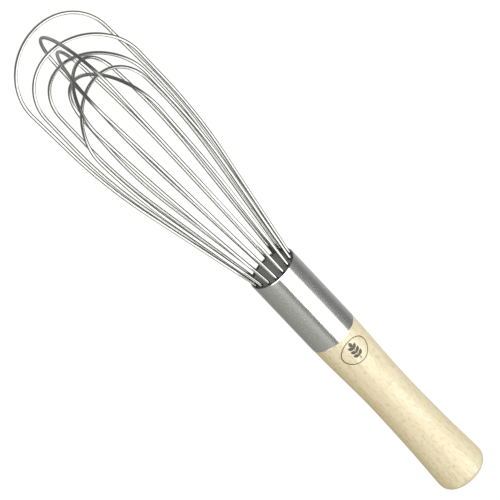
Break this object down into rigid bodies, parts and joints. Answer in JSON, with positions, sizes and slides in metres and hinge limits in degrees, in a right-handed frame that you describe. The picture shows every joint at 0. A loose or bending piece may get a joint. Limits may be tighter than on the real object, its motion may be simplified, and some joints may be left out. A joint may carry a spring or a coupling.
{
  "type": "balloon whisk",
  "caption": "Hand whisk with a rounded balloon of nested steel wire loops held in a steel ferrule on a turned wooden handle.",
  "frame": {"origin": "centre of the handle's butt face, the end it is stood on", "axes": "+Z along the handle towards the wires; -Y is the side the view is taken from, +X is that view's right-hand side of the handle"},
  "size_m": [0.0544, 0.0518, 0.3069],
  "materials": {
    "wood": "fine sanded pale wood",
    "brushed_steel": "satin, brushed along its length",
    "seal": "dark potting compound",
    "wire": "polished stainless wire"
  },
  "bodies": {
    "root": {"handle": "wood", "ferrule": "brushed_steel", "seal": "seal", "wire_loop_1": "wire", "wire_loop_2": "wire", "wire_loop_3": "wire", "wire_loop_4": "wire", "wire_loop_5": "wire", "wire_loop_6": "wire", "wire_loop_7": "wire", "wire_loop_8": "wire"}
  },
  "joints": []
}
